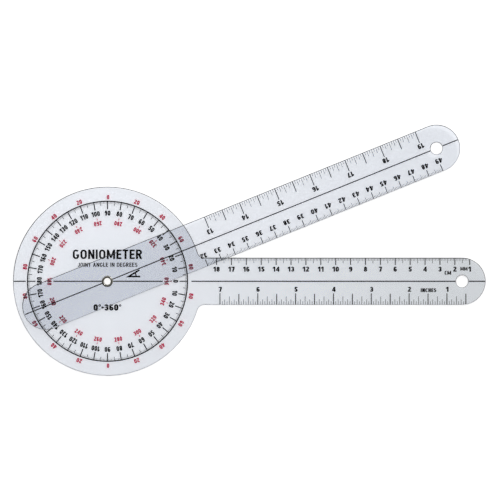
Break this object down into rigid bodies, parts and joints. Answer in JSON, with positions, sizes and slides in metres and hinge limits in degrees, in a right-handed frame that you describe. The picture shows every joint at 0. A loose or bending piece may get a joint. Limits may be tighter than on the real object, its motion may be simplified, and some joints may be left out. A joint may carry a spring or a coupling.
{
  "type": "goniometer",
  "caption": "Clear plastic 360-degree joint-angle goniometer: round dial with ruler arm, and a moving arm turning on a hollow rivet.",
  "frame": {"origin": "the pivot axis, at the height of the dial's upper, printed face", "axes": "+Z is the pivot axis, up from the printed face towards the reader; +X runs along the stationary arm to its tip"},
  "size_m": [0.3175, 0.1686, 0.0051],
  "materials": {
    "clear_sheet": "gloss",
    "plated_metal": "polished",
    "washer_film": "matte",
    "black_ink": "matte",
    "red_ink": "matte"
  },
  "bodies": {
    "stationary": {"stationary_arm": "clear_sheet", "pivot_eyelet": "plated_metal", "rear_washer": "plated_metal", "friction_washer": "washer_film"},
    "moving": {"moving_arm": "clear_sheet"}
  },
  "joints": [
    {"name": "pivot", "type": "hinge", "parent": "stationary", "child": "moving", "pos_m": [0, 0, 0], "axis": [0, 0, 1], "continuous": true}
  ]
}
